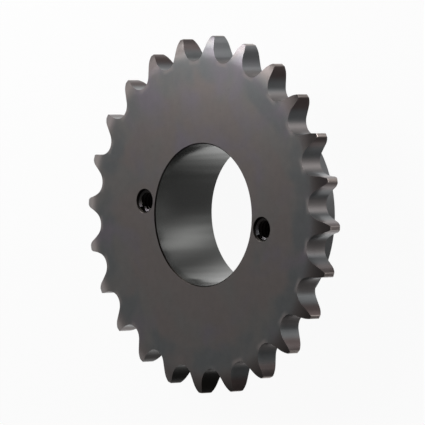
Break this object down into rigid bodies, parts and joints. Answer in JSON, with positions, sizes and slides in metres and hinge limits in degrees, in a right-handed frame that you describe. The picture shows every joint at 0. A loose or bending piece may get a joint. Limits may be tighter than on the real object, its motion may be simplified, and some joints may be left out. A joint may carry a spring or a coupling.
{
  "type": "chain sprocket",
  "caption": "Roller-chain sprocket: flat toothed plate on a short round hub, with a large bushing bore and tapped screw holes beside it.",
  "frame": {"origin": "on the bore's axis, in the plane of the hub's end face, which the part stands on", "axes": "+Z along the bore from the hub end to the toothed plate's flat outer face; +X through the middle of a tooth"},
  "size_m": [0.104, 0.104, 0.023],
  "materials": {
    "black_oxide_steel": "satin black oxide over turned and milled steel"
  },
  "bodies": {
    "root": {"sprocket": "black_oxide_steel"}
  },
  "joints": []
}
